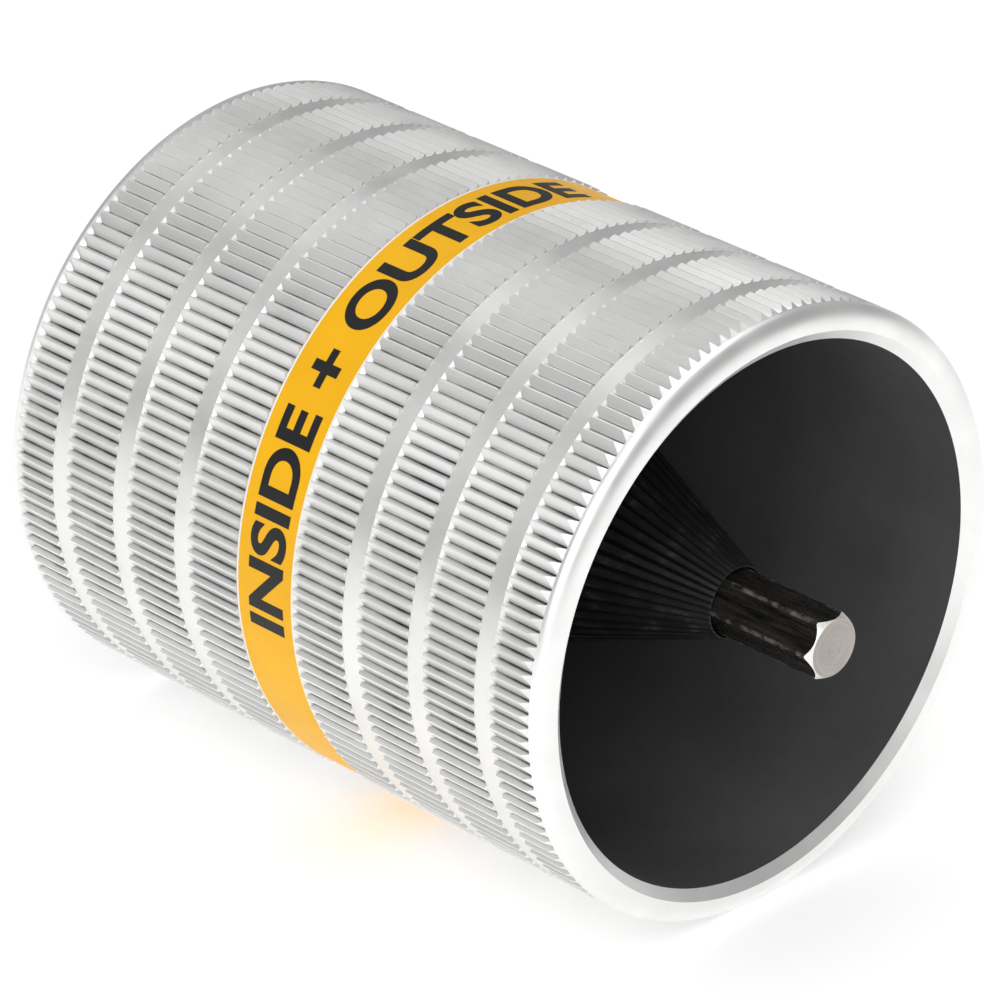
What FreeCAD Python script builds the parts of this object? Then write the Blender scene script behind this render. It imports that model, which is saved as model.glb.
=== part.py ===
"""In-and-out pipe deburring tool: a knurled aluminium sleeve with a convex toothed cone in its
front mouth, a concave toothed funnel in its rear mouth and a hexagon drive shaft through both.

The tool's axis is X and its front mouth faces +X.  The origin is the centre of the front mouth.
Each piece is drawn along its own X from the rear end of the sleeve, as a lathe would see it:
"at" is a distance from that end and "r" a radius, and every body is then placed on the axis.
"""
import FreeCAD
import Part
import Sketcher
import os
import re

os.makedirs("parts", exist_ok=True)
doc = FreeCAD.newDocument("DeburringTool")

# ---- driving dimensions, millimetres and degrees --------------------------------------------
SIZES = {
    "body_len": (77.0, "from mouth to mouth, measured where the lips begin"),
    "crest_r": (33.0, "over the knurled bands"),
    "land_r": (32.7, "smooth lands between the bands"),
    "label_seat_r": (32.45, "recess that the marking band is wrapped in"),
    "bore_r": (30.7, "bore of the sleeve"),
    "mouth_r": (29.27, "clear radius of the front mouth"),
    "lip_proud": (0.9, "each lip stands this far past its mouth"),
    "lip_flare": (1.13, "how much wider the front lip's face opens than its mouth"),
    "lip_round": (1.1, "outer edge of each lip, broken at 45 degrees"),
    "seat_len": (1.2, "tapered seat of the liner behind the front lip"),
    "edge": (0.2, "small broken edges"),
    "label_wide": (8.4, "marking band"),
    "band_wide": (7.2, "knurled bands either side of the marking band"),
    "land_wide": (2.17, "smooth lands"),
    "key_r": (1.0, "dowel keys"),
    "key_pitch_r": (30.5, "the keys lie half in the sleeve, half in the flanges"),
    "key_count": (3, "dowel keys round the bore"),
    "liner_gap": (0.05, "play behind the tapered seat"),
    "stack_front": (10.9, "where the liner ends and the clamped stack begins"),
    "gasket_thick": (1.0, "rubber ring under the liner"),
    "flange_r": (30.6, "outside of everything in the stack"),
    "inner_flange": (2.5, "flange of the inner cutter"),
    "spacer_thick": (1.8, "ring between the two flanges"),
    "spacer_r": (28.2, "bore of the spacer and the spring washer"),
    "outer_flange": (2.0, "flange of the outer cutter"),
    "washer_thick": (0.6, "spring washer"),
    "ring_bore_r": (28.75, "bore of the lock ring"),
    "ring_face": (0.5, "the lock ring's rear face, from the end of the sleeve"),
    "notch_wide": (4.0, "spanner notches in the lock ring"),
    "notch_deep": (1.4, "spanner notches in the lock ring"),
    "notch_count": (4, "spanner notches in the lock ring"),
    "washer_play": (1.0, "the spring washer is this much smaller in radius than the stack"),
    "rim_r": (28.6, "rear rim of the outer cutter"),
    "cone_half": (20.5, "half angle of both cutting cones"),
    "cone_tip": (84.4, "where the inner cutter's cone would come to a point"),
    "joint_tip": (80.0, "the same for the joint between the two cutters"),
    "funnel_tip": (75.6, "the same for the outer cutter's funnel"),
    "nose_at": (73.9, "flat nose of the inner cutter"),
    "nose_bore_r": (3.8, "round clearance hole for the shaft in the nose"),
    "teeth": (38, "cutting edges on each cutter"),
    "tooth_share": (0.5, "part of the pitch that a groove takes"),
    "tooth_slope": (0.42, "depth of a groove over its width"),
    "tooth_over": (0.15, "part of a groove's outline that is drawn outside the metal"),
    "funnel_land": (1.5, "plain length left at the bottom of the funnel"),
    "bush_front": (68.1, "front end of the drive bush"),
    "bush_step": (64.9, "front of the bush's collar"),
    "bush_back": (63.7, "rear face of the bush, the bottom of the funnel"),
    "bush_r": (5.0, "drive bush"),
    "pilot_r": (2.0, "hole that the bush's hexagon bore is broached from"),
    "collar_r": (5.8, "its collar"),
    "hex_flats": (6.35, "drive shaft across its flats, a quarter inch"),
    "hex_play": (0.05, "running clearance on each flat"),
    "groove_r": (4.42, "groove of the friction ring in the bush"),
    "groove_at": (66.5, "its middle"),
    "groove_wide": (1.1, "its width"),
    "wire_r": (0.34, "wire of the friction ring"),
    "wire_pitch_r": (4.06, "middle of that wire"),
    "wire_turn": (325.0, "how far the split ring goes round"),
    "shaft_len": (83.0, "drive shaft"),
    "shaft_proud": (9.3, "the shaft stands this far out of the front mouth"),
    "shaft_end_r": (3.1, "flat round face on each end of the shaft"),
    "shaft_end_len": (0.85, "length of the chamfer on its corners"),
    "shaft_clock": (29.0, "turn of the shaft's corners about the axis"),
    "overrun": (1.0, "cutting outlines start this far outside the metal"),
}
sheet = doc.addObject("Spreadsheet::Sheet", "Sizes")
for row, (alias, (number, meaning)) in enumerate(SIZES.items(), start=1):
    sheet.set(f"A{row}", alias)
    sheet.set(f"B{row}", str(number))
    sheet.set(f"C{row}", meaning)
    sheet.setAlias(f"B{row}", alias)
doc.recompute()

CELL_NAMES = re.compile(r"\b(" + "|".join(SIZES) + r")\b")
MOUTH = "(lip_proud + body_len)"
SLOPE = "tan(cone_half * 1deg)"


def cells(text):
    """An expression in the sheet's names, such as 'crest_r - 1', written for FreeCAD."""
    return CELL_NAMES.sub(r"Sizes.\1", text)


def number(text):
    """The value of such an expression."""
    found = sheet.evalExpression(cells(text))
    return float(getattr(found, "Value", found))


# ---- how the pieces are drawn ---------------------------------------------------------------
def new_body(label):
    """A body on the tool's axis, with its own X starting at the rear end of the sleeve."""
    body = doc.addObject("PartDesign::Body", label)
    body.Label = label
    body.setExpression("Placement.Base.x", cells(f"-{MOUTH}"))
    return body


def plane_of(body, role):
    return next(plane for plane in body.Origin.OriginFeatures if plane.Role == role)


def new_sketch(body, name, role, at="0"):
    """A sketch on one of the body's own planes, moved along that plane's normal."""
    sketch = body.newObject("Sketcher::SketchObject", f"{body.Name}_{name}")
    sketch.AttachmentSupport = [(plane_of(body, role), "")]
    sketch.MapMode = "FlatFace"
    sketch.setExpression("AttachmentOffset.Base.z", cells(at))
    return sketch


def bind(sketch, kind, geometry, point, expression):
    """Fixes one coordinate of a sketch point to an expression."""
    index = sketch.addConstraint(
        # the sketch's origin is point 1 of geometry -1
        Sketcher.Constraint(kind, -1, 1, geometry, point, number(expression)))
    sketch.setExpression(f"Constraints[{index}]", cells(expression))


def draw_outline(sketch, points):
    """A closed outline of straight edges, each corner bound to the sheet."""
    corners = [FreeCAD.Vector(number(x), number(y), 0) for x, y in points]
    count = len(corners)
    for index in range(count):
        sketch.addGeometry(Part.LineSegment(corners[index], corners[(index + 1) % count]))
    for index in range(count):
        sketch.addConstraint(Sketcher.Constraint("Coincident", index, 2, (index + 1) % count, 1))
    for index, (x, y) in enumerate(points):
        bind(sketch, "DistanceX", index, 1, x)
        bind(sketch, "DistanceY", index, 1, y)


def draw_circle(sketch, x, y, radius):
    middle = FreeCAD.Vector(number(x), number(y), 0)
    circle = sketch.addGeometry(Part.Circle(middle, FreeCAD.Vector(0, 0, 1), number(radius)))
    bind(sketch, "DistanceX", circle, 3, x)
    bind(sketch, "DistanceY", circle, 3, y)
    index = sketch.addConstraint(Sketcher.Constraint("Radius", circle, number(radius)))
    sketch.setExpression(f"Constraints[{index}]", cells(radius))


def turn(body, sketch, angle="360"):
    """Revolves a half outline about the tool's axis."""
    turned = body.newObject("PartDesign::Revolution", f"{body.Name}_turned")
    turned.Profile = sketch
    turned.ReferenceAxis = (sketch, ["H_Axis"])
    turned.setExpression("Angle", cells(angle))
    return turned


def turned_body(label, points):
    body = new_body(label)
    sketch = new_sketch(body, "outline", "XY_Plane")
    draw_outline(sketch, points)
    turn(body, sketch)
    doc.recompute()
    return body


def cut(body, name, sketch, depth):
    """Cuts a sketch towards +X and makes sure that it took something away."""
    before = body.Shape.Volume
    pocket = body.newObject("PartDesign::Pocket", f"{body.Name}_{name}")
    pocket.Profile = sketch
    pocket.Type = "Length"
    pocket.Reversed = True
    pocket.setExpression("Length", cells(depth))
    doc.recompute()
    assert body.Shape.Volume < before, f"{pocket.Name} cut nothing"
    return pocket


def repeat(body, feature, count):
    """Repeats a feature evenly round the tool's axis."""
    pattern = body.newObject("PartDesign::PolarPattern", f"{feature.Name}_pattern")
    pattern.Originals = [feature]
    pattern.Axis = (plane_of(body, "X_Axis"), [""])
    pattern.Angle = 360
    pattern.setExpression("Occurrences", cells(count))
    body.Tip = pattern
    doc.recompute()


def cut_keyways(body, start, depth):
    sketch = new_sketch(body, "keyway_outline", "YZ_Plane", start)
    draw_circle(sketch, "0", "key_pitch_r", "key_r")
    repeat(body, cut(body, "keyway", sketch, depth), "key_count")


def cone_r(tip, at):
    """Radius at one station of a cone of the cutters' angle that points forward."""
    return f"(({tip}) - ({at})) * {SLOPE}"


def cut_teeth(body, tip, back, front, outward):
    """Tapering V grooves along a cone, one between each pair of cutting edges.

    outward is 1 on the outside of a cone and -1 on the inside of a funnel."""
    before = body.Shape.Volume
    ends = []
    for name, at in (("back", back), ("front", front)):
        radius = cone_r(tip, at)
        half = f"({radius}) * tan(180deg / teeth) * tooth_share"
        depth = f"2 * {half} * tooth_slope"
        outside = f"{radius} + {outward} * tooth_over * {depth}"
        sketch = new_sketch(body, f"tooth_{name}", "YZ_Plane", at)
        draw_outline(sketch, [
            (f"-(1 + tooth_over) * {half}", outside),
            (f"(1 + tooth_over) * {half}", outside),
            ("0", f"{radius} - {outward} * {depth}"),
        ])
        ends.append(sketch)
    doc.recompute()
    groove = body.newObject("PartDesign::SubtractiveLoft", f"{body.Name}_tooth_groove")
    groove.Profile = ends[0]
    groove.Sections = [ends[1]]
    groove.Ruled = True
    doc.recompute()
    assert body.Shape.Volume < before, f"{groove.Name} cut nothing"
    repeat(body, groove, "teeth")


# ---- knurled grip sleeve, turned from aluminium tube ----------------------------------------
def make_grip_sleeve():
    """Knurled bands with smooth lands between them, mirrored about the marking band."""
    middle = "(lip_proud + body_len / 2)"
    steps = ["label_wide / 2"]
    for wide in ("band_wide", "land_wide") * 3:
        steps.append(f"{steps[-1]} + {wide}")
    levels = ["label_seat_r"] + ["crest_r", "land_r"] * 3 + ["crest_r"]
    points = [
        (MOUTH, "mouth_r"),
        (f"{MOUTH} + lip_proud", "mouth_r + lip_flare"),
        (f"{MOUTH} + lip_proud", "crest_r - lip_round"),
        (f"{MOUTH} + lip_proud - lip_round", "crest_r"),
    ]
    for index in range(len(steps) - 1, -1, -1):
        points.append((f"{middle} + {steps[index]}", levels[index + 1]))
        points.append((f"{middle} + {steps[index]}", levels[index]))
    for index in range(len(steps)):
        points.append((f"{middle} - ({steps[index]})", levels[index]))
        points.append((f"{middle} - ({steps[index]})", levels[index + 1]))
    points += [
        ("lip_round", "crest_r"),
        ("0", "crest_r - lip_round"),
        ("0", "bore_r + edge"),
        ("edge", "bore_r"),
        (f"{MOUTH} - seat_len", "bore_r"),
    ]
    body = turned_body("grip_sleeve", points)
    cut_keyways(body, "-overrun", "stack_front - gasket_thick + overrun")
    return body


def make_label_band():
    """Marking band, a film wrapped round the recess and flush with the lands."""
    middle = "(lip_proud + body_len / 2)"
    return turned_body("label_band", [
        (f"{middle} - label_wide / 2", "label_seat_r"),
        (f"{middle} + label_wide / 2", "label_seat_r"),
        (f"{middle} + label_wide / 2", "land_r"),
        (f"{middle} - label_wide / 2", "land_r"),
    ])


def make_front_liner():
    """Dark sleeve that lines the front mouth; its tapered front seats behind the lip."""
    return turned_body("front_liner", [
        (f"{MOUTH} - liner_gap", "mouth_r"),
        (f"{MOUTH} - liner_gap - seat_len", "bore_r"),
        ("stack_front", "bore_r"),
        ("stack_front", "mouth_r"),
    ])


# ---- the clamped stack in the rear of the sleeve --------------------------------------------
INNER_FRONT = "(stack_front - gasket_thick)"
INNER_BACK = f"({INNER_FRONT} - inner_flange)"
OUTER_FRONT = f"({INNER_BACK} - spacer_thick)"
OUTER_BACK = f"({OUTER_FRONT} - outer_flange)"
RING_FRONT = f"({OUTER_BACK} - washer_thick)"


def plain_ring(label, back, front, inner, outer):
    return turned_body(label, [(back, inner), (front, inner), (front, outer), (back, outer)])


def make_liner_gasket():
    return plain_ring("liner_gasket", INNER_FRONT, "stack_front", "mouth_r", "flange_r")


def make_inner_cutter():
    """Hollow convex cone; its nose carries the drive bush and its base is a keyed flange."""
    body = turned_body("inner_deburring_cutter", [
        ("nose_at", "nose_bore_r"),
        ("nose_at", cone_r("cone_tip", "nose_at")),
        (INNER_FRONT, cone_r("cone_tip", INNER_FRONT)),
        (INNER_FRONT, "flange_r"),
        (INNER_BACK, "flange_r"),
        (INNER_BACK, cone_r("joint_tip", INNER_BACK)),
        ("bush_back", cone_r("joint_tip", "bush_back")),
        ("bush_back", "collar_r"),
        ("bush_step", "collar_r"),
        ("bush_step", "bush_r"),
        ("bush_front", "bush_r"),
        ("bush_front", "nose_bore_r"),
    ])
    cut_keyways(body, f"{INNER_BACK} - overrun", "inner_flange + 2 * overrun")
    cut_teeth(body, "cone_tip", INNER_FRONT, "nose_at + overrun / 2", 1)
    return body


def make_spacer_ring():
    body = plain_ring("spacer_ring", OUTER_FRONT, INNER_BACK, "spacer_r", "flange_r")
    cut_keyways(body, f"{OUTER_FRONT} - overrun", "spacer_thick + 2 * overrun")
    return body


def make_outer_cutter():
    """Toothed funnel that nests in the inner cutter and opens to the rear."""
    body = turned_body("outer_deburring_cutter", [
        ("bush_back", cone_r("funnel_tip", "bush_back")),
        ("bush_back", cone_r("joint_tip", "bush_back")),
        (OUTER_FRONT, cone_r("joint_tip", OUTER_FRONT)),
        (OUTER_FRONT, "flange_r"),
        (OUTER_BACK, "flange_r"),
        (OUTER_BACK, "rim_r"),
        ("lip_proud", "rim_r"),
        ("lip_proud", cone_r("funnel_tip", "lip_proud")),
    ])
    cut_keyways(body, f"{OUTER_BACK} - overrun", "outer_flange + 2 * overrun")
    cut_teeth(body, "funnel_tip", "lip_proud - overrun / 2", "bush_back - funnel_land", -1)
    return body


def make_spring_washer():
    outer = "flange_r - washer_play"
    return plain_ring("spring_washer", RING_FRONT, OUTER_BACK, "ring_bore_r", outer)


def make_lock_ring():
    """Ring that screws into the rear of the sleeve, with four notches for a pin spanner."""
    body = turned_body("lock_ring", [
        ("ring_face", "ring_bore_r"),
        (RING_FRONT, "ring_bore_r"),
        (RING_FRONT, "bore_r"),
        ("ring_face + edge", "bore_r"),
        ("ring_face", "bore_r - edge"),
    ])
    sketch = new_sketch(body, "notch_outline", "YZ_Plane", "ring_face - overrun")
    draw_outline(sketch, [
        ("-notch_wide / 2", "ring_bore_r - overrun"),
        ("notch_wide / 2", "ring_bore_r - overrun"),
        ("notch_wide / 2", "bore_r + overrun"),
        ("-notch_wide / 2", "bore_r + overrun"),
    ])
    repeat(body, cut(body, "notch", sketch, "notch_deep + overrun"), "notch_count")
    return body


def make_key_pins():
    """Three dowels that lie half in the sleeve and half in the flanges and carry the torque."""
    pins = []
    for index in range(int(number("key_count"))):
        pin = doc.addObject("Part::Cylinder", f"key_pin_{index + 1}")
        pin.setExpression("Radius", cells("key_r"))
        pin.setExpression("Height", cells(f"{INNER_FRONT} - {OUTER_BACK}"))
        turn_deg = 360.0 * index / number("key_count")
        along = FreeCAD.Rotation(FreeCAD.Vector(0, 0, 1), FreeCAD.Vector(1, 0, 0))
        pin.Placement = FreeCAD.Placement(FreeCAD.Vector(), along)
        pin.setExpression("Placement.Base.x", cells(f"{OUTER_BACK} - {MOUTH}"))
        pin.setExpression("Placement.Base.y", cells(f"-key_pitch_r * sin({turn_deg} * 1deg)"))
        pin.setExpression("Placement.Base.z", cells(f"key_pitch_r * cos({turn_deg} * 1deg)"))
        pins.append(pin)
    group = doc.addObject("Part::Compound", "key_pins")
    group.Label = "key_pins"
    group.Links = pins
    return group


# ---- drive: bush, friction ring and hexagon shaft -------------------------------------------
def hex_corners(flats):
    """Corners of a hexagon given across its flats, turned by the shaft's clocking."""
    corner = f"(({flats}) / sqrt(3))"
    corners = []
    for index in range(6):
        turn_deg = f"((shaft_clock + {60 * index}) * 1deg)"
        corners.append((f"-{corner} * sin{turn_deg}", f"{corner} * cos{turn_deg}"))
    return corners


def make_drive_bush():
    """Steel bush with a hexagon bore, held by its collar between the two cutters."""
    body = turned_body("drive_bush", [
        ("bush_back", "pilot_r"),
        ("bush_front", "pilot_r"),
        ("bush_front", "bush_r"),
        ("bush_step", "bush_r"),
        ("bush_step", "collar_r"),
        ("bush_back", "collar_r"),
    ])
    sketch = new_sketch(body, "hex_outline", "YZ_Plane", "bush_back - overrun")
    draw_outline(sketch, hex_corners("hex_flats + 2 * hex_play"))
    cut(body, "hex_bore", sketch, "bush_front - bush_back + 2 * overrun")
    groove_sketch = new_sketch(body, "groove_outline", "XY_Plane")
    draw_outline(groove_sketch, [
        ("groove_at - groove_wide / 2", "pilot_r"),
        ("groove_at + groove_wide / 2", "pilot_r"),
        ("groove_at + groove_wide / 2", "groove_r"),
        ("groove_at - groove_wide / 2", "groove_r"),
    ])
    groove = body.newObject("PartDesign::Groove", f"{body.Name}_ring_groove")
    groove.Profile = groove_sketch
    groove.ReferenceAxis = (groove_sketch, ["H_Axis"])
    groove.Angle = 360
    doc.recompute()
    return body


def make_friction_ring():
    """Split wire ring that grips the shaft's corners, so the shaft stays where it is pushed."""
    body = new_body("friction_ring")
    sketch = new_sketch(body, "wire", "XY_Plane")
    draw_circle(sketch, "groove_at", "wire_pitch_r", "wire_r")
    turn(body, sketch, "wire_turn")
    doc.recompute()
    return body


def make_drive_shaft():
    """Quarter inch hexagon bar, chamfered on both ends to a round face."""
    body = new_body("drive_shaft")
    back = f"({MOUTH} + shaft_proud - shaft_len)"
    sketch = new_sketch(body, "hexagon", "YZ_Plane", back)
    draw_outline(sketch, hex_corners("hex_flats"))
    bar = body.newObject("PartDesign::Pad", "drive_shaft_bar")
    bar.Profile = sketch
    bar.setExpression("Length", cells("shaft_len"))
    doc.recompute()
    steep = "shaft_end_len / (hex_flats / sqrt(3) - shaft_end_r)"
    for name, face, inward in (("front", f"({back} + shaft_len)", -1), ("back", back, 1)):
        before = body.Shape.Volume
        outline = new_sketch(body, f"{name}_chamfer_outline", "XY_Plane")
        draw_outline(outline, [
            (face, "shaft_end_r"),
            (f"{face} + {inward} * overrun * {steep}", "shaft_end_r + overrun"),
            (face, "shaft_end_r + overrun"),
        ])
        chamfer = body.newObject("PartDesign::Groove", f"drive_shaft_{name}_chamfer")
        chamfer.Profile = outline
        chamfer.ReferenceAxis = (outline, ["H_Axis"])
        chamfer.Angle = 360
        doc.recompute()
        assert body.Shape.Volume < before, f"{chamfer.Name} cut nothing"
    return body


pieces = [
    make_grip_sleeve(), make_label_band(), make_front_liner(), make_liner_gasket(),
    make_inner_cutter(), make_spacer_ring(), make_outer_cutter(), make_spring_washer(),
    make_lock_ring(), make_key_pins(), make_drive_bush(), make_friction_ring(),
    make_drive_shaft(),
]
doc.recompute()

# ---- nothing is written unless every object is sound ----------------------------------------
for item in doc.Objects:
    assert not {"Invalid", "Error"} & set(item.State), f"{item.Name} failed: {item.State}"
for piece in pieces:
    shape = piece.Shape
    assert not shape.isNull() and shape.isValid() and shape.Solids, f"{piece.Label} is not sound"
for piece in pieces:
    shape = piece.Shape
    shape.exportStep(os.path.join("parts", f"{piece.Label}.step"))
    box = shape.BoundBox
    print(f"{piece.Label}: {len(shape.Solids)} solid(s), {shape.Volume:.0f} mm3, "
          f"X {box.XMin:.2f} to {box.XMax:.2f}, radius {max(box.YMax, box.ZMax):.2f}")
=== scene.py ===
from math import atan2, cos, hypot, pi, radians, sin, tan, tau

import bmesh
import bpy
from mathutils import Matrix, Vector


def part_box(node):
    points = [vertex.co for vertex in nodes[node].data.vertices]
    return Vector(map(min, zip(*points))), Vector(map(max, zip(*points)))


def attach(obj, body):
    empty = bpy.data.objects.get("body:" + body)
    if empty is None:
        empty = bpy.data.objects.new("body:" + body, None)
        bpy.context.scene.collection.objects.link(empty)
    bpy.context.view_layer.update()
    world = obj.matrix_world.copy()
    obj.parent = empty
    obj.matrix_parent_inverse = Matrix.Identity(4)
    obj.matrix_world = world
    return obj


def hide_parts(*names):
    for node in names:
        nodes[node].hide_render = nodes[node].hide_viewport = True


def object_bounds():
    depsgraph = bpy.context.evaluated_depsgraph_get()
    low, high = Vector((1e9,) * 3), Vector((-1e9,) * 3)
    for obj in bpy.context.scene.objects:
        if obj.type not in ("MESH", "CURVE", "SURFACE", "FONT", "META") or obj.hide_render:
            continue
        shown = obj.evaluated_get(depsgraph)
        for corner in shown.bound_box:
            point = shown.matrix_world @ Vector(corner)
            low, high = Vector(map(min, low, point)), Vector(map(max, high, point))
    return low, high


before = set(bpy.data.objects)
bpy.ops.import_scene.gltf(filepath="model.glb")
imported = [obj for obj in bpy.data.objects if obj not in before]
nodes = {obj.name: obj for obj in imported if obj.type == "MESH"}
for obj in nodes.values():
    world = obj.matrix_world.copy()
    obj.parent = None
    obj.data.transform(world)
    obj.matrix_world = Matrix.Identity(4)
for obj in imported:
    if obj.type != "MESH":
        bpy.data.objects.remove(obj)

cad_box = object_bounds()

# ---- The view: studio table, camera and soft boxes ------------------------------------------
# The tool lies on its side on a pale table and is seen from the front right, a little from
# above, through a long lens.  Everything here is only the stage.
camera_azimuth = radians(45.35)
camera_elevation = radians(27.48)
camera_distance = 0.63557
camera_aside = -0.02660
camera_raised = 0.01162
look = Vector((
    -sin(camera_azimuth) * cos(camera_elevation),
    cos(camera_azimuth) * cos(camera_elevation),
    -sin(camera_elevation),
))
right = Vector((cos(camera_azimuth), sin(camera_azimuth), 0))
above = right.cross(look)
camera_data = bpy.data.cameras.new("camera")
camera_data.sensor_width = 36
camera_data.lens = 228.6
camera = bpy.data.objects.new("camera", camera_data)
camera.matrix_world = Matrix((right, above, -look)).transposed().to_4x4()
camera.location = -camera_distance * look + camera_aside * right + camera_raised * above
bpy.context.scene.collection.objects.link(camera)
bpy.context.scene.camera = camera
bpy.context.scene.view_settings.view_transform = "Standard"

world = bpy.data.worlds.new("studio")
world.use_nodes = True
world.node_tree.nodes["Background"].inputs["Color"].default_value = (1, 1, 1, 1)
world.node_tree.nodes["Background"].inputs["Strength"].default_value = 0.38
bpy.context.scene.world = world


def soft_box(name, place, size, watts, aim=(-0.035, 0, 0)):
    """A square area light that looks at the tool."""
    data = bpy.data.lights.new(name, "AREA")
    data.size = size
    data.energy = watts
    lamp = bpy.data.objects.new(name, data)
    lamp.location = place
    lamp.rotation_euler = (Vector(aim) - Vector(place)).to_track_quat("-Z", "Y").to_euler()
    bpy.context.scene.collection.objects.link(lamp)


soft_box("overhead", (-0.15, 0.10, 0.90), 0.90, 3.0)
soft_box("rear_left", (-0.75, -0.60, 0.55), 0.60, 0.6)
soft_box("by_the_camera", (0.56, -0.76, 0.66), 1.00, 6.7)

floor_mesh = bpy.data.meshes.new("table")
floor_shape = bmesh.new()
bmesh.ops.create_grid(floor_shape, x_segments=1, y_segments=1, size=3.0)
floor_shape.to_mesh(floor_mesh)
floor_shape.free()
floor = bpy.data.objects.new("table", floor_mesh)
floor.location.z = cad_box[0][2]
bpy.context.scene.collection.objects.link(floor)
floor_paint = bpy.data.materials.new("table")
floor_paint.use_nodes = True
floor_shader = floor_paint.node_tree.nodes["Principled BSDF"]
floor_shader.inputs["Base Color"].default_value = (0.85, 0.85, 0.85, 1)
floor_shader.inputs["Roughness"].default_value = 0.9
floor_shader.inputs["Emission Color"].default_value = (1, 1, 1, 1)
floor_shader.inputs["Emission Strength"].default_value = 0.40
floor_mesh.materials.append(floor_paint)

# ---- Grip sleeve ----------------------------------------------------------------------------
# Turned from aluminium tube.  Eight bands of straight knurling are pressed into it with smooth
# lands between, and both lips are turned bright with a rounded outer edge.
MM = 0.001
knurl_teeth = 141
crest_r = 33.0
land_r = 32.7
valley_r = 32.35
label_seat_r = 32.45
bore_r = 30.7
mouth_r = 29.27
band_wide = 7.2
land_wide = 2.17
tooth_wall = 0.30
tooth_flat = 0.12
wall_dip = 0.02
flat_dip = 0.04
flat_share = 0.08
valley_share = 0.24
valley_run = 0.5
valley_stop = 0.1
crest_rise = 0.12
crest_fall = 0.12
lip_fall = 0.6
lip_length = 1.45
lip_depth = 2.2
lip_groove_r = 32.45
lip_groove_wide = 0.2
lip_proud = 0.9
lip_flare = 1.13
seat_len = 1.2
sleeve_edge = 0.25

sleeve_low, sleeve_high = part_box("grip_sleeve")
sleeve_back = sleeve_low[0] / MM
sleeve_front = sleeve_high[0] / MM
label_low, label_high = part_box("label_band")
label_back = label_low[0] / MM
label_front = label_high[0] / MM
sleeve_middle = (label_back + label_front) / 2


def on_axis(x, r, angle):
    """A point of a turned piece, in metres, from millimetres along and out from the axis."""
    return Vector((x * MM, -r * MM * sin(angle), r * MM * cos(angle)))


def finish_mesh(bm, name, sharp=25, crest=None):
    """Makes an object of a closed bmesh, with its edges split where they are sharp."""
    bmesh.ops.remove_doubles(bm, verts=bm.verts, dist=0.002 * MM)
    bmesh.ops.dissolve_degenerate(bm, edges=bm.edges, dist=0.001 * MM)
    bmesh.ops.recalc_face_normals(bm, faces=bm.faces)
    for edge in bm.edges:
        if len(edge.link_faces) == 2 and edge.calc_face_angle() > radians(sharp):
            edge.smooth = False
    for face in bm.faces:
        face.smooth = True
    mesh = bpy.data.meshes.new(name)
    bm.to_mesh(mesh)
    bm.free()
    piece = bpy.data.objects.new(name, mesh)
    bpy.context.scene.collection.objects.link(piece)
    return piece


def fluted(name, rows, count, sharp=25):
    """A ring with evenly spaced flutes, turned from a closed section.

    Each row holds points across one pitch, (x, share, r, crest): x and r in millimetres, share
    from -1 to 1 across the pitch, and crest, from 0 to 1, kept for the material.  One pitch is
    swept from copies of the section, and then repeated round the axis."""
    bm = bmesh.new()
    station = bm.verts.layers.int.new("station")
    crest_layer = bm.verts.layers.float.new("crest")

    def place(vertex, column):
        x, share, r, crest = rows[vertex[station]][column]
        vertex.co = on_axis(x, r, share * pi / count)
        vertex[crest_layer] = crest

    ring = [bm.verts.new((0, 0, 0)) for _ in rows]
    for index, vertex in enumerate(ring):
        vertex[station] = index
        place(vertex, 0)
    edges = [bm.edges.new(pair) for pair in zip(ring, ring[1:] + ring[:1])]
    for column in range(1, len(rows[0])):
        swept = bmesh.ops.extrude_edge_only(bm, edges=edges)["geom"]
        fresh = {item for item in swept if isinstance(item, bmesh.types.BMVert)}
        for vertex in fresh:
            place(vertex, column)
        edges = [item for item in swept
                 if isinstance(item, bmesh.types.BMEdge) and set(item.verts) <= fresh]
    bmesh.ops.spin(
        bm, geom=bm.verts[:] + bm.edges[:] + bm.faces[:], cent=(0, 0, 0), axis=(1, 0, 0),
        dvec=(0, 0, 0), angle=tau * (count - 1) / count, steps=count - 1, use_duplicate=True)
    bmesh.ops.triangulate(bm, faces=bm.faces[:], quad_method="LONG_EDGE")
    return finish_mesh(bm, name, sharp)


# The knurl's teeth lean: from its high edge each runs down to a deep corner, and a steep wall
# climbs to the next.  Each column is (share of the pitch, radius, crest for the material).  The
# crest paints light and shade into the colour: near black in the deep corners as painted shade,
# and palest on the high edges as a painted highlight as well as wear.
pitch_mm = tau * crest_r / knurl_teeth
high_share = -1 + 2 * tooth_wall / pitch_mm
slope_share = high_share + 2 * tooth_flat / pitch_mm
land_share = slope_share + (1 - slope_share) * (crest_r - land_r) / (crest_r - valley_r)
low_share = 1 - valley_share
low_r = valley_r + (crest_r - valley_r) * valley_share / (1 - slope_share)
knurl_columns = [
    (-1, valley_r, 0), (high_share, crest_r - wall_dip, 1), (slope_share, crest_r, 0.9),
    (slope_share + flat_share, crest_r - flat_dip, 0.5), (land_share, land_r, 0.5),
    (low_share, low_r, 0.5), (1, valley_r, 0)]


def smooth_row(x, r, crest=0.5):
    """A row without teeth, with its points where the teeth have theirs."""
    return [(x, share, r, crest) for share, _, _ in knurl_columns]


def knurl_start(x):
    """Two rows at the rear of a knurled band: each tooth rises from the land at once, and the
    corner below it starts with a bright three-cornered ramp."""
    row = []
    for share, r, crest in knurl_columns:
        run = crest_rise if r > land_r else valley_run * (land_r - r) / (land_r - valley_r)
        # the ramp row keeps a crest of at least 0.15, so its painted corner shade is lighter
        row.append((x + run, share, r, max(crest, 0.15)))
    return [smooth_row(x, land_r), row]


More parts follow.
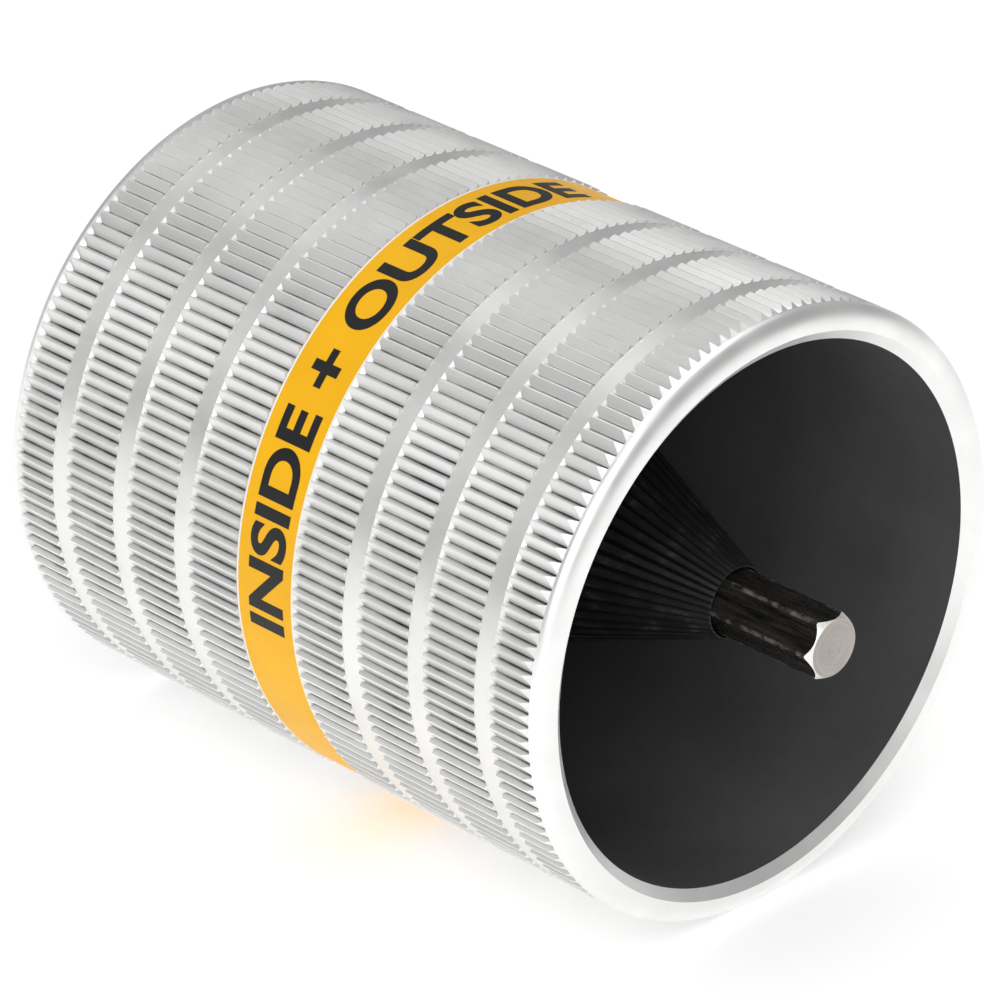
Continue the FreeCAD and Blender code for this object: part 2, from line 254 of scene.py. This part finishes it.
def knurl_stop(x, level_r=land_r, fall=crest_fall):
    """Two rows at the front of a knurled band, which slopes down to level_r and ends at x."""
    row = []
    for share, r, crest in knurl_columns:
        run = fall * (r - level_r) / (crest_r - land_r) if r > level_r else valley_stop
        row.append((x - run, share, r, crest))
    return [row, smooth_row(x, level_r)]


def rounded_lip(face, outward):
    """Rows over a lip, an oval rounding from the crest down to the lip's flat face."""
    rows = []
    for degree in range(90, -1, -10):
        turning = radians(degree)
        rows.append(smooth_row(
            face - outward * lip_length * (1 - cos(turning)),
            crest_r - lip_depth + lip_depth * sin(turning), 0.9))
    return rows


# how far each edge between a band and a land lies from the middle, outwards
edges_out = [(label_front - label_back) / 2]
for wide in (band_wide, land_wide) * 3:
    edges_out.append(edges_out[-1] + wide)
lip_groove = lip_length + lip_groove_wide
sleeve_rows = [smooth_row(sleeve_front - lip_proud - seat_len, bore_r)]
sleeve_rows += [
    smooth_row(sleeve_back + sleeve_edge, bore_r),
    smooth_row(sleeve_back, bore_r + sleeve_edge),
]
sleeve_rows += rounded_lip(sleeve_back, -1)[::-1]
sleeve_rows += knurl_start(sleeve_back + lip_groove)
for far, near in ((6, 5), (4, 3), (2, 1)):
    sleeve_rows += knurl_stop(sleeve_middle - edges_out[far])
    sleeve_rows += knurl_start(sleeve_middle - edges_out[near])
sleeve_rows += knurl_stop(sleeve_middle - edges_out[0])
sleeve_rows += [smooth_row(label_back, label_seat_r), smooth_row(label_front, label_seat_r)]
sleeve_rows += knurl_start(sleeve_middle + edges_out[0])
for near, far in ((1, 2), (3, 4), (5, 6)):
    sleeve_rows += knurl_stop(sleeve_middle + edges_out[near])
    sleeve_rows += knurl_start(sleeve_middle + edges_out[far])
sleeve_rows += knurl_stop(sleeve_front - lip_groove, lip_groove_r, lip_fall)
sleeve_rows += rounded_lip(sleeve_front, 1)
sleeve_rows += [
    smooth_row(sleeve_front, mouth_r + lip_flare, 0.9),
    smooth_row(sleeve_front - lip_proud, mouth_r, 0.9),
]
sleeve = fluted("knurled_sleeve", sleeve_rows, knurl_teeth)
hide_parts("grip_sleeve")
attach(sleeve, "tool_body")


def new_group(name, inputs, outputs):
    """An empty shader group with number sockets; inputs is {name: default}."""
    group = bpy.data.node_groups.new(name, "ShaderNodeTree")
    for label, default in inputs.items():
        socket = group.interface.new_socket(label, in_out="INPUT", socket_type="NodeSocketFloat")
        socket.default_value = default
    for label in outputs:
        group.interface.new_socket(label, in_out="OUTPUT", socket_type="NodeSocketFloat")
    start = group.nodes.new("NodeGroupInput")
    end = group.nodes.new("NodeGroupOutput")
    return group, start, end


def add(tree, kind, **values):
    """A node with its settings, or its inputs given as in_0, in_Scale and so on."""
    node = tree.nodes.new(kind)
    for key, value in values.items():
        if key.startswith("in_"):
            socket = key[3:].replace("_", " ")
            node.inputs[int(socket) if socket.isdigit() else socket].default_value = value
        else:
            setattr(node, key, value)
    return node


def calculate(tree, operation, first, second=0.0):
    """A Math node fed by sockets or plain numbers."""
    node = add(tree, "ShaderNodeMath", operation=operation)
    for index, value in enumerate((first, second)):
        if isinstance(value, (int, float)):
            node.inputs[index].default_value = value
        else:
            tree.links.new(value, node.inputs[index])
    return node.outputs[0]


# Lathe lines: rings round the axis that change along it and outwards, as a turning tool leaves.
lathe_lines, lathe_in, lathe_out = new_group(
    "lathe_lines", {"Spacing": 0.12, "Broken": 0.15}, ["Lines", "Patches"])
place_node = add(lathe_lines, "ShaderNodeTexCoord")
split = add(lathe_lines, "ShaderNodeSeparateXYZ")
lathe_lines.links.new(place_node.outputs["Object"], split.inputs[0])
across = calculate(lathe_lines, "MULTIPLY", split.outputs["Y"], split.outputs["Y"])
upward = calculate(lathe_lines, "MULTIPLY", split.outputs["Z"], split.outputs["Z"])
radius = calculate(lathe_lines, "SQRT", calculate(lathe_lines, "ADD", across, upward))
turning = calculate(lathe_lines, "ARCTAN2", split.outputs["Y"], split.outputs["Z"])
along_mm = calculate(lathe_lines, "MULTIPLY", split.outputs["X"], 1000.0)
radius_mm = calculate(lathe_lines, "MULTIPLY", radius, 1000.0)
join = add(lathe_lines, "ShaderNodeCombineXYZ")
lathe_lines.links.new(
    calculate(lathe_lines, "DIVIDE", along_mm, lathe_in.outputs["Spacing"]), join.inputs[0])
lathe_lines.links.new(
    calculate(lathe_lines, "DIVIDE", radius_mm, lathe_in.outputs["Spacing"]), join.inputs[1])
lathe_lines.links.new(
    calculate(lathe_lines, "MULTIPLY", turning, lathe_in.outputs["Broken"]), join.inputs[2])
lines = add(lathe_lines, "ShaderNodeTexNoise", in_Scale=1.0, in_Detail=2.0, in_Roughness=0.6)
lathe_lines.links.new(join.outputs[0], lines.inputs["Vector"])
lathe_lines.links.new(lines.outputs["Fac"], lathe_out.inputs["Lines"])
patches = add(lathe_lines, "ShaderNodeTexNoise", in_Scale=160.0, in_Detail=3.0, in_Roughness=0.55)
lathe_lines.links.new(place_node.outputs["Object"], patches.inputs["Vector"])
lathe_lines.links.new(patches.outputs["Fac"], lathe_out.inputs["Patches"])

# Grain: the fine even tooth of a blasted, moulded or blackened surface, and its slow mottling.
grain, grain_in, grain_out = new_group("grain", {"Size": 0.2, "Mottle": 6.0}, ["Grain", "Mottling"])
place_node = add(grain, "ShaderNodeTexCoord")
for label, socket in (("Size", "Grain"), ("Mottle", "Mottling")):
    noise = add(grain, "ShaderNodeTexNoise", in_Detail=4.0, in_Roughness=0.62)
    grain.links.new(place_node.outputs["Object"], noise.inputs["Vector"])
    grain.links.new(
        calculate(grain, "DIVIDE", 1000.0, grain_in.outputs[label]), noise.inputs["Scale"])
    grain.links.new(noise.outputs["Fac"], grain_out.inputs[socket])


def new_finish(name, metallic=0.0, **sockets):
    """A material with its Principled shader; a uniform value sits on the shader's own socket."""
    finish = bpy.data.materials.new(name)
    finish.use_nodes = True
    shader = finish.node_tree.nodes["Principled BSDF"]
    shader.inputs["Metallic"].default_value = metallic
    for key, value in sockets.items():
        shader.inputs[key.replace("_", " ")].default_value = value
    return finish, finish.node_tree, shader


def use_group(tree, group, **inputs):
    node = add(tree, "ShaderNodeGroup", node_tree=group)
    for key, value in inputs.items():
        node.inputs[key].default_value = value
    return node


def spread(tree, value, low, high, out_low, out_high):
    """Maps a changing number from one span to another, held at the ends."""
    node = add(tree, "ShaderNodeMapRange", in_1=low, in_2=high, in_3=out_low, in_4=out_high)
    tree.links.new(value, node.inputs[0])
    return node.outputs[0]


def shades(tree, value, *stops):
    """A colour that follows a number; each stop is (place, linear grey or colour)."""
    ramp = add(tree, "ShaderNodeValToRGB")
    while len(ramp.color_ramp.elements) < len(stops):
        ramp.color_ramp.elements.new(0.5)
    for element, (place, colour) in zip(ramp.color_ramp.elements, stops):
        element.position = place
        element.color = (*colour, 1) if isinstance(colour, tuple) else (colour, colour, colour, 1)
    tree.links.new(value, ramp.inputs[0])
    return ramp.outputs["Color"]


def bump(tree, shader, height, distance_mm, strength=1.0):
    node = add(tree, "ShaderNodeBump", in_Strength=strength, in_Distance=distance_mm * MM)
    tree.links.new(height, node.inputs["Height"])
    tree.links.new(node.outputs["Normal"], shader.inputs["Normal"])
    return node


aluminium, tree, shader = new_finish("turned_aluminium", metallic=1.0)
marks = use_group(tree, lathe_lines, Spacing=0.11, Broken=0.25)
pits = use_group(tree, grain, Size=0.16, Mottle=5.0)
# The crest paints light and shade into the colour: near black in the knurl's deep corners as painted
# shade, palest on the teeth's high edges as a painted highlight and wear; the mottling adds random
# tone.
crest_value = add(tree, "ShaderNodeAttribute", attribute_name="crest").outputs["Fac"]
painted_light_and_mottle = calculate(
    tree, "ADD", crest_value, spread(tree, pits.outputs["Mottling"], 0.3, 0.7, -0.12, 0.12))
metal = shades(
    tree, painted_light_and_mottle, (0.0, (0.05, 0.05, 0.049)), (0.4, (0.80, 0.80, 0.79)), (1.0, (0.92, 0.92, 0.91)))
tree.links.new(metal, shader.inputs["Base Color"])
tree.links.new(
    spread(tree, marks.outputs["Patches"], 0.3, 0.7, 0.34, 0.46), shader.inputs["Roughness"])
relief = calculate(
    tree, "ADD", marks.outputs["Lines"], calculate(tree, "MULTIPLY", pits.outputs["Grain"], 0.6))
bump(tree, shader, relief, 0.011)
sleeve.data.materials.append(aluminium)

# ---- Marking band ---------------------------------------------------------------------------
# A yellow film wrapped round the middle of the sleeve between two knurled bands, edged with a
# thin pale line on each side and printed in black.
def turned(name, outline, steps=180, sharp=25):
    """A piece turned from a closed outline of (x, r) points in millimetres."""
    bm = bmesh.new()
    ring = [bm.verts.new(on_axis(x, r, 0)) for x, r in outline]
    edges = [bm.edges.new(pair) for pair in zip(ring, ring[1:] + ring[:1])]
    bmesh.ops.spin(
        bm, geom=ring + edges, cent=(0, 0, 0), axis=(1, 0, 0), dvec=(0, 0, 0), angle=tau,
        steps=steps, use_merge=True, use_duplicate=False)
    return finish_mesh(bm, name, sharp)


film_gap = 0.02
film_round = 0.03
film = turned("marking_film", [
    (label_back + film_gap, label_seat_r), (label_back + film_gap, land_r - film_round),
    (label_back + film_gap + film_round, land_r), (label_front - film_gap - film_round, land_r),
    (label_front - film_gap, land_r - film_round), (label_front - film_gap, label_seat_r),
], steps=240)
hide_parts("label_band")
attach(film, "tool_body")

yellow, tree, shader = new_finish("yellow_film", Specular_IOR_Level=0.25)
pits = use_group(tree, grain, Size=0.25, Mottle=9.0)
place_node = add(tree, "ShaderNodeTexCoord")
split = add(tree, "ShaderNodeSeparateXYZ")
tree.links.new(place_node.outputs["Object"], split.inputs[0])
from_middle = calculate(tree, "ABSOLUTE", calculate(
    tree, "SUBTRACT", calculate(tree, "MULTIPLY", split.outputs["X"], 1000.0), sleeve_middle))
edging_inside, edging_outside = 3.86, 3.92
border = spread(tree, from_middle, edging_inside, edging_outside, 0.0, 1.0)
ink = shades(
    tree, pits.outputs["Mottling"], (0.3, (0.86, 0.43, 0.002)), (0.7, (0.92, 0.48, 0.003)))
edging = add(tree, "ShaderNodeMix", data_type="RGBA", in_7=(0.86, 0.85, 0.80, 1))
tree.links.new(border, edging.inputs[0])
tree.links.new(ink, edging.inputs[6])
tree.links.new(edging.outputs[2], shader.inputs["Base Color"])
tree.links.new(spread(tree, pits.outputs["Grain"], 0.3, 0.7, 0.38, 0.5), shader.inputs["Roughness"])
bump(tree, shader, pits.outputs["Grain"], 0.004)
film.data.materials.append(yellow)

# The printing: plain words for the edges of a pipe that it works, each letter a thin layer of ink that
# follows the round of the film.  The letters' tops point to the rear.
letter_height = 4.9
capital_share = 0.729
letter_size = letter_height / capital_share
first_letter = radians(97.0)
last_letter = radians(-20.0)
ink_sunk = 0.01
ink_proud = 0.03
ink_low_r = land_r - ink_sunk
ink_high_r = land_r + ink_proud

words_data = bpy.data.curves.new("words", "FONT")
words_data.body = "INSIDE + OUTSIDE"
words_data.size = letter_size
words_data.offset = 0.21
words = bpy.data.objects.new("words", words_data)
bpy.context.scene.collection.objects.link(words)
bpy.context.view_layer.update()
words_mesh = bpy.data.meshes.new_from_object(words)
bpy.data.objects.remove(words)
bm = bmesh.new()
bm.from_mesh(words_mesh)
low_x = min(vertex.co.x for vertex in bm.verts)
high_x = max(vertex.co.x for vertex in bm.verts)
slices = 150
for index in range(1, slices):
    at = low_x + (high_x - low_x) * index / slices
    bmesh.ops.bisect_plane(
        bm, geom=bm.verts[:] + bm.edges[:] + bm.faces[:], plane_co=(at, 0, 0),
        plane_no=(1, 0, 0), dist=0.0005)
top = bmesh.ops.extrude_face_region(bm, geom=bm.faces[:])["geom"]
raised = {item for item in top if isinstance(item, bmesh.types.BMVert)}
for vertex in bm.verts:
    share = (vertex.co.x - low_x) / (high_x - low_x)
    angle = first_letter + (last_letter - first_letter) * share
    r = ink_high_r if vertex in raised else ink_low_r
    vertex.co = on_axis(sleeve_middle + letter_height / 2 - vertex.co.y, r, angle)
printing = finish_mesh(bm, "printed_words", sharp=40)
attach(printing, "tool_body")
black_ink, tree, shader = new_finish("black_ink", Specular_IOR_Level=0.3)
pits = use_group(tree, grain, Size=0.3, Mottle=4.0)
tree.links.new(
    shades(tree, pits.outputs["Mottling"], (0.3, 0.006), (0.7, 0.012)), shader.inputs["Base Color"])
tree.links.new(spread(tree, pits.outputs["Grain"], 0.3, 0.7, 0.4, 0.55), shader.inputs["Roughness"])
bump(tree, shader, pits.outputs["Grain"], 0.004)
printing.data.materials.append(black_ink)

# ---- Front liner ----------------------------------------------------------------------------
# A plain dark sleeve pressed up the bore from the rear until its tapered front seats behind
# the lip.  It is moulded with a dull, slightly mottled skin.
liner_low, liner_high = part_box("front_liner")
liner_back = liner_low[0] / MM
liner_front = liner_high[0] / MM
liner = turned("moulded_liner", [
    (liner_front, mouth_r), (liner_front - seat_len, bore_r), (liner_back, bore_r),
    (liner_back, mouth_r),
], steps=240)
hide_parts("front_liner")
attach(liner, "tool_body")

dull_dark, tree, shader = new_finish("dull_dark_liner")
pits = use_group(tree, grain, Size=0.5, Mottle=14.0)
skin = shades(
    tree, pits.outputs["Mottling"], (0.3, (0.061, 0.065, 0.063)), (0.7, (0.082, 0.086, 0.083)))
tree.links.new(skin, shader.inputs["Base Color"])
tree.links.new(spread(tree, pits.outputs["Grain"], 0.3, 0.7, 0.62, 0.78), shader.inputs["Roughness"])
bump(tree, shader, pits.outputs["Grain"], 0.02)
liner.data.materials.append(dull_dark)

# ---- Inner deburring cutter -----------------------------------------------------------------
# The convex cone in the front mouth, which a pipe is pushed over.  Hardened and blackened
# steel with straight ground edges that run to a small flat nose round the shaft.
cutter_teeth = 38
cone_slope = tan(radians(20.5))
cone_tip = 6.5
joint_tip = 2.1
funnel_tip = -2.3
groove_share = 0.5
groove_slope = 0.42
nose_x = -4.0
nose_bore_r = 3.8
flange_r = 30.6
cutter_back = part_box("inner_deburring_cutter")[0][0] / MM
bush_low, bush_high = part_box("drive_bush")
bush_back = bush_low[0] / MM
bush_front = bush_high[0] / MM
bush_collar = 1.2
bush_step = bush_back + bush_collar
bush_r = 5.0
collar_r = 5.8
flange_thick = 2.5
cone_floor = cutter_back + flange_thick
bore_play = 0.02
nose_round = 0.08
nose_share = 0.98
cone_rings = 12


def tooth_row(x, tip, outward, crest=1.0):
    """A row of a toothed cone: the grooves keep their share of the pitch as the cone narrows."""
    r = (tip - x) * cone_slope
    groove_r = r - outward * 2 * r * pi / cutter_teeth * groove_share * groove_slope
    edge = 1 - groove_share
    return [(x, -1, groove_r, 0), (x, -edge, r, crest), (x, 0, r, crest), (x, edge, r, crest),
            (x, 1, groove_r, 0)]


def round_row(x, r):
    """A row of a cutter without grooves."""
    edge = 1 - groove_share
    return [(x, share, r, 0.5) for share in (-1, -edge, 0, edge, 1)]


cone_rows = [
    round_row(nose_x, nose_bore_r + bore_play),
    round_row(nose_x, (cone_tip - nose_x) * cone_slope * nose_share),
    tooth_row(nose_x - nose_round, cone_tip, 1),
]
cone_length = nose_x - cone_floor
for index in range(1, cone_rings + 1):
    cone_rows.append(tooth_row(nose_x - cone_length * index / cone_rings, cone_tip, 1))
cone_rows += [
    round_row(cone_floor, flange_r),
    round_row(cutter_back, flange_r),
    round_row(cutter_back, (joint_tip - cutter_back) * cone_slope),
    round_row(bush_back, (joint_tip - bush_back) * cone_slope),
    round_row(bush_back, collar_r),
    round_row(bush_step, collar_r),
    round_row(bush_step, bush_r),
    round_row(bush_front, bush_r),
    round_row(bush_front, nose_bore_r + bore_play),
]
cone = fluted("toothed_cone", cone_rows, cutter_teeth, sharp=20)
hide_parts("inner_deburring_cutter")
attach(cone, "tool_body")

black_steel, tree, shader = new_finish("blackened_cutter_steel", metallic=0.35)
pits = use_group(tree, grain, Size=0.22, Mottle=2.2)
# The crest is 1 over the teeth and 0 in the grooves: the grooves are painted near black as shade, and
# the teeth paler, partly wear of their ground edges and partly a painted highlight, broken up by
# mottling.
crest_value = add(tree, "ShaderNodeAttribute", attribute_name="crest").outputs["Fac"]
painted_edge_light_and_wear = calculate(
    tree, "MULTIPLY", crest_value,
    spread(tree, pits.outputs["Mottling"], 0.38, 0.75, 0.35, 0.85))
steel = shades(
    tree, painted_edge_light_and_wear, (0.0, (0.002, 0.002, 0.002)), (0.6, (0.020, 0.019, 0.018)),
    (1.0, (0.11, 0.10, 0.095)))
tree.links.new(steel, shader.inputs["Base Color"])
tree.links.new(spread(tree, pits.outputs["Grain"], 0.3, 0.7, 0.34, 0.55), shader.inputs["Roughness"])
bump(tree, shader, pits.outputs["Grain"], 0.02)
cone.data.materials.append(black_steel)

# ---- Outer deburring cutter -----------------------------------------------------------------
# The toothed funnel in the rear mouth, which takes the burr off the outside of a pipe.  It
# nests in the back of the cone and is clamped by its flange.
funnel_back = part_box("outer_deburring_cutter")[0][0] / MM
spacer_len = 1.8
funnel_flange_thick = 2.0
throat_len = 1.5
funnel_flange_front = cutter_back - spacer_len
funnel_flange_back = funnel_flange_front - funnel_flange_thick
rim_r = 28.6
funnel_rows = [
    round_row(bush_back, (joint_tip - bush_back) * cone_slope),
    round_row(funnel_flange_front, (joint_tip - funnel_flange_front) * cone_slope),
    round_row(funnel_flange_front, flange_r),
    round_row(funnel_flange_back, flange_r),
    round_row(funnel_flange_back, rim_r),
    round_row(funnel_back, rim_r),
]
for index in range(cone_rings + 1):
    x = funnel_back + (bush_back - throat_len - funnel_back) * index / cone_rings
    funnel_rows.append(tooth_row(x, funnel_tip, -1))
funnel_rows.append(round_row(bush_back, (funnel_tip - bush_back) * cone_slope))
funnel = fluted("toothed_funnel", funnel_rows, cutter_teeth, sharp=20)
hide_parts("outer_deburring_cutter")
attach(funnel, "tool_body")
funnel.data.materials.append(black_steel)

# ---- Drive shaft ----------------------------------------------------------------------------
# Quarter inch hexagon bar that slides through the nose.  Black drawn bar, cut to length and
# chamfered on a lathe, so its ends are bright and its corners run out in curves.
shaft_low, shaft_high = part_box("drive_shaft")
shaft_back = shaft_low[0] / MM
shaft_front = shaft_high[0] / MM
hex_flats = 6.35
shaft_end_r = 3.1
shaft_end_len = 0.85
shaft_clock = radians(29.0)
corner_highlight_band = 0.12
corner_round = 0.22
flat_cuts = 15
side_limit = 0.2
end_limit = 0.98
corner_r = hex_flats / (2 * cos(pi / 6))
end_slope = shaft_end_len / (corner_r - shaft_end_r)

bm = bmesh.new()
index_layer = bm.verts.layers.int.new("index")
crest_layer = bm.verts.layers.float.new("crest")
bmesh.ops.create_circle(bm, cap_ends=True, segments=6, radius=corner_r)
bmesh.ops.bevel(
    bm, geom=bm.verts[:], offset=corner_round, segments=4, profile=0.5, affect="VERTICES", material=-1)
long_sides = [edge for edge in bm.edges if edge.calc_length() > corner_round * 4]
bmesh.ops.subdivide_edges(bm, edges=long_sides, cuts=flat_cuts)
# Only the rounded corners get a crest of 1: the material paints them paler, a painted highlight along
# the hexagon's edges.
for vertex in bm.verts:
    vertex[crest_layer] = 1 if hypot(vertex.co.x, vertex.co.y) > corner_r - corner_highlight_band else 0
# the section is drawn about its first corner, on +Y, and has to be turned to the shaft's clocking
outline_turn = shaft_clock + pi / 2


def shaft_point(vertex, x, r=None):
    """A point of the section, moved out to the given radius where one is given."""
    here = hypot(vertex.co.x, vertex.co.y)
    angle = atan2(vertex.co.y, vertex.co.x) + outline_turn
    return on_axis(x, here if r is None else r, angle)


def chamfer_depth(vertex):
    here = hypot(vertex.co.x, vertex.co.y)
    return max(here - shaft_end_r, 0) * end_slope


plan = {}
for vertex in bm.verts:
    plan[vertex] = (
        shaft_point(vertex, shaft_back, shaft_end_r),
        shaft_point(vertex, shaft_back + chamfer_depth(vertex)),
        shaft_point(vertex, shaft_front - chamfer_depth(vertex)),
        shaft_point(vertex, shaft_front, shaft_end_r),
    )
order = list(bm.verts)
places = [plan[vertex] for vertex in order]
for vertex, place_list in zip(order, places):
    vertex.co = place_list[0]
ring = order
edges = list(bm.edges)
for index, vertex in enumerate(ring):
    vertex[index_layer] = index
for level in (1, 2, 3):
    swept = bmesh.ops.extrude_edge_only(bm, edges=edges)["geom"]
    fresh = {item for item in swept if isinstance(item, bmesh.types.BMVert)}
    edges = [item for item in swept
             if isinstance(item, bmesh.types.BMEdge) and set(item.verts) <= fresh]
    for vertex in fresh:
        vertex.co = places[vertex[index_layer]][level]
bmesh.ops.contextual_create(bm, geom=edges)
shaft = finish_mesh(bm, "hexagon_shaft", sharp=14)
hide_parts("drive_shaft")
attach(shaft, "shaft")

# Streaks: fine marks that run lengthwise, from the die that the bar was drawn through.
streaks, streaks_in, streaks_out = new_group("streaks", {"Width": 0.15, "Length": 6.0}, ["Streaks"])
place_node = add(streaks, "ShaderNodeTexCoord")
split = add(streaks, "ShaderNodeSeparateXYZ")
streaks.links.new(place_node.outputs["Object"], split.inputs[0])
join = add(streaks, "ShaderNodeCombineXYZ")
for index, (axis, label) in enumerate((("X", "Length"), ("Y", "Width"), ("Z", "Width"))):
    place_mm = calculate(streaks, "MULTIPLY", split.outputs[axis], 1000.0)
    streaks.links.new(
        calculate(streaks, "DIVIDE", place_mm, streaks_in.outputs[label]), join.inputs[index])
noise = add(streaks, "ShaderNodeTexNoise", in_Scale=1.0, in_Detail=3.0, in_Roughness=0.6)
streaks.links.new(join.outputs[0], noise.inputs["Vector"])
streaks.links.new(noise.outputs["Fac"], streaks_out.inputs["Streaks"])

drawn_black, tree, shader = new_finish("black_drawn_bar", metallic=0.6)
pits = use_group(tree, grain, Size=0.35, Mottle=1.6)
lengthwise = use_group(tree, streaks, Width=0.35, Length=5.0)
# The crest paints the corners paler as a painted highlight along the edges, broken up by mottling; the
# lengthwise streaks add the bar's own tone.
crest_value = add(tree, "ShaderNodeAttribute", attribute_name="crest").outputs["Fac"]
painted_edge_light_and_wear = calculate(
    tree, "MULTIPLY", crest_value,
    spread(tree, pits.outputs["Mottling"], 0.42, 0.62, 0.05, 0.6))
shade = calculate(
    tree, "ADD", painted_edge_light_and_wear, spread(tree, lengthwise.outputs["Streaks"], 0.3, 0.7, 0.0, 0.3))
bar = shades(
    tree, shade, (0.0, (0.006, 0.006, 0.006)), (0.3, (0.075, 0.068, 0.062)),
    (1.0, (0.52, 0.48, 0.43)))
tree.links.new(bar, shader.inputs["Base Color"])
tree.links.new(spread(tree, pits.outputs["Grain"], 0.3, 0.7, 0.18, 0.40), shader.inputs["Roughness"])
bump(tree, shader, lengthwise.outputs["Streaks"], 0.03)
# The end face and the chamfer are the same lathe-cut steel in two copies: the chamfer is painted much
# paler than the end face, painted light on the chamfer and painted shade on the end.
bright_end, tree, shader = new_finish("lathe_cut_steel", metallic=1.0)
marks = use_group(tree, lathe_lines, Spacing=0.09, Broken=0.6)
tree.links.new(
    shades(tree, marks.outputs["Lines"], (0.3, (0.36, 0.33, 0.31)), (0.7, (0.48, 0.45, 0.42))),
    shader.inputs["Base Color"])
tree.links.new(spread(tree, marks.outputs["Patches"], 0.3, 0.7, 0.32, 0.48), shader.inputs["Roughness"])
bump(tree, shader, marks.outputs["Lines"], 0.006)
shaft.data.materials.append(drawn_black)
shaft.data.materials.append(bright_end)
bright_chamfer, tree, shader = new_finish("chamfered_steel", metallic=1.0)
marks = use_group(tree, lathe_lines, Spacing=0.09, Broken=0.6)
tree.links.new(
    shades(tree, marks.outputs["Lines"], (0.3, (0.80, 0.79, 0.77)), (0.7, (0.94, 0.93, 0.91))),
    shader.inputs["Base Color"])
tree.links.new(spread(tree, marks.outputs["Patches"], 0.3, 0.7, 0.34, 0.46), shader.inputs["Roughness"])
bump(tree, shader, marks.outputs["Lines"], 0.006)
shaft.data.materials.append(bright_chamfer)
for polygon in shaft.data.polygons:
    along = abs(polygon.normal.x)
    polygon.material_index = 0 if along < side_limit else 2 if along < end_limit else 1

# ---- Lock ring, at the rear -----------------------------------------------------------------
# Black anodised ring that screws into the rear of the sleeve and clamps the stack; four
# notches take a pin spanner.
bm = bmesh.new()
bm.from_mesh(nodes["lock_ring"].data)
ring_edge = 0.12
bmesh.ops.remove_doubles(bm, verts=bm.verts, dist=0.001 * MM)
corners = [edge for edge in bm.edges
           if len(edge.link_faces) == 2 and edge.calc_face_angle() > radians(60)]
bmesh.ops.bevel(
    bm, geom=corners, offset=ring_edge * MM, segments=2, profile=0.5, affect="EDGES", material=-1)
lock_ring = finish_mesh(bm, "notched_lock_ring", sharp=35)
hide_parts("lock_ring")
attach(lock_ring, "tool_body")
anodised, tree, shader = new_finish("black_anodised_aluminium", metallic=0.7)
marks = use_group(tree, lathe_lines, Spacing=0.16, Broken=0.2)
tree.links.new(
    shades(tree, marks.outputs["Patches"], (0.3, 0.022), (0.7, 0.038)), shader.inputs["Base Color"])
tree.links.new(spread(tree, marks.outputs["Patches"], 0.3, 0.7, 0.35, 0.5), shader.inputs["Roughness"])
bump(tree, shader, marks.outputs["Lines"], 0.006)
lock_ring.data.materials.append(anodised)

# ---- Pieces inside the tool -----------------------------------------------------------------
# Plain turned steel rings, dowels and the drive bush, and one rubber ring under the liner.
plain_steel, tree, shader = new_finish("plain_turned_steel", metallic=1.0)
marks = use_group(tree, lathe_lines, Spacing=0.14, Broken=0.3)
tree.links.new(
    shades(tree, marks.outputs["Patches"], (0.3, (0.48, 0.48, 0.49)), (0.7, (0.60, 0.60, 0.61))),
    shader.inputs["Base Color"])
tree.links.new(spread(tree, marks.outputs["Lines"], 0.3, 0.7, 0.25, 0.42), shader.inputs["Roughness"])
bump(tree, shader, marks.outputs["Lines"], 0.006)
rubber, tree, shader = new_finish("black_rubber")
pits = use_group(tree, grain, Size=0.3, Mottle=5.0)
tree.links.new(
    shades(tree, pits.outputs["Mottling"], (0.3, 0.012), (0.7, 0.022)), shader.inputs["Base Color"])
tree.links.new(spread(tree, pits.outputs["Grain"], 0.3, 0.7, 0.6, 0.8), shader.inputs["Roughness"])
bump(tree, shader, pits.outputs["Grain"], 0.02)
for name in ("spacer_ring", "spring_washer", "key_pins", "drive_bush", "friction_ring"):
    nodes[name].data.materials.clear()
    nodes[name].data.materials.append(plain_steel)
nodes["liner_gasket"].data.materials.clear()
nodes["liner_gasket"].data.materials.append(rubber)
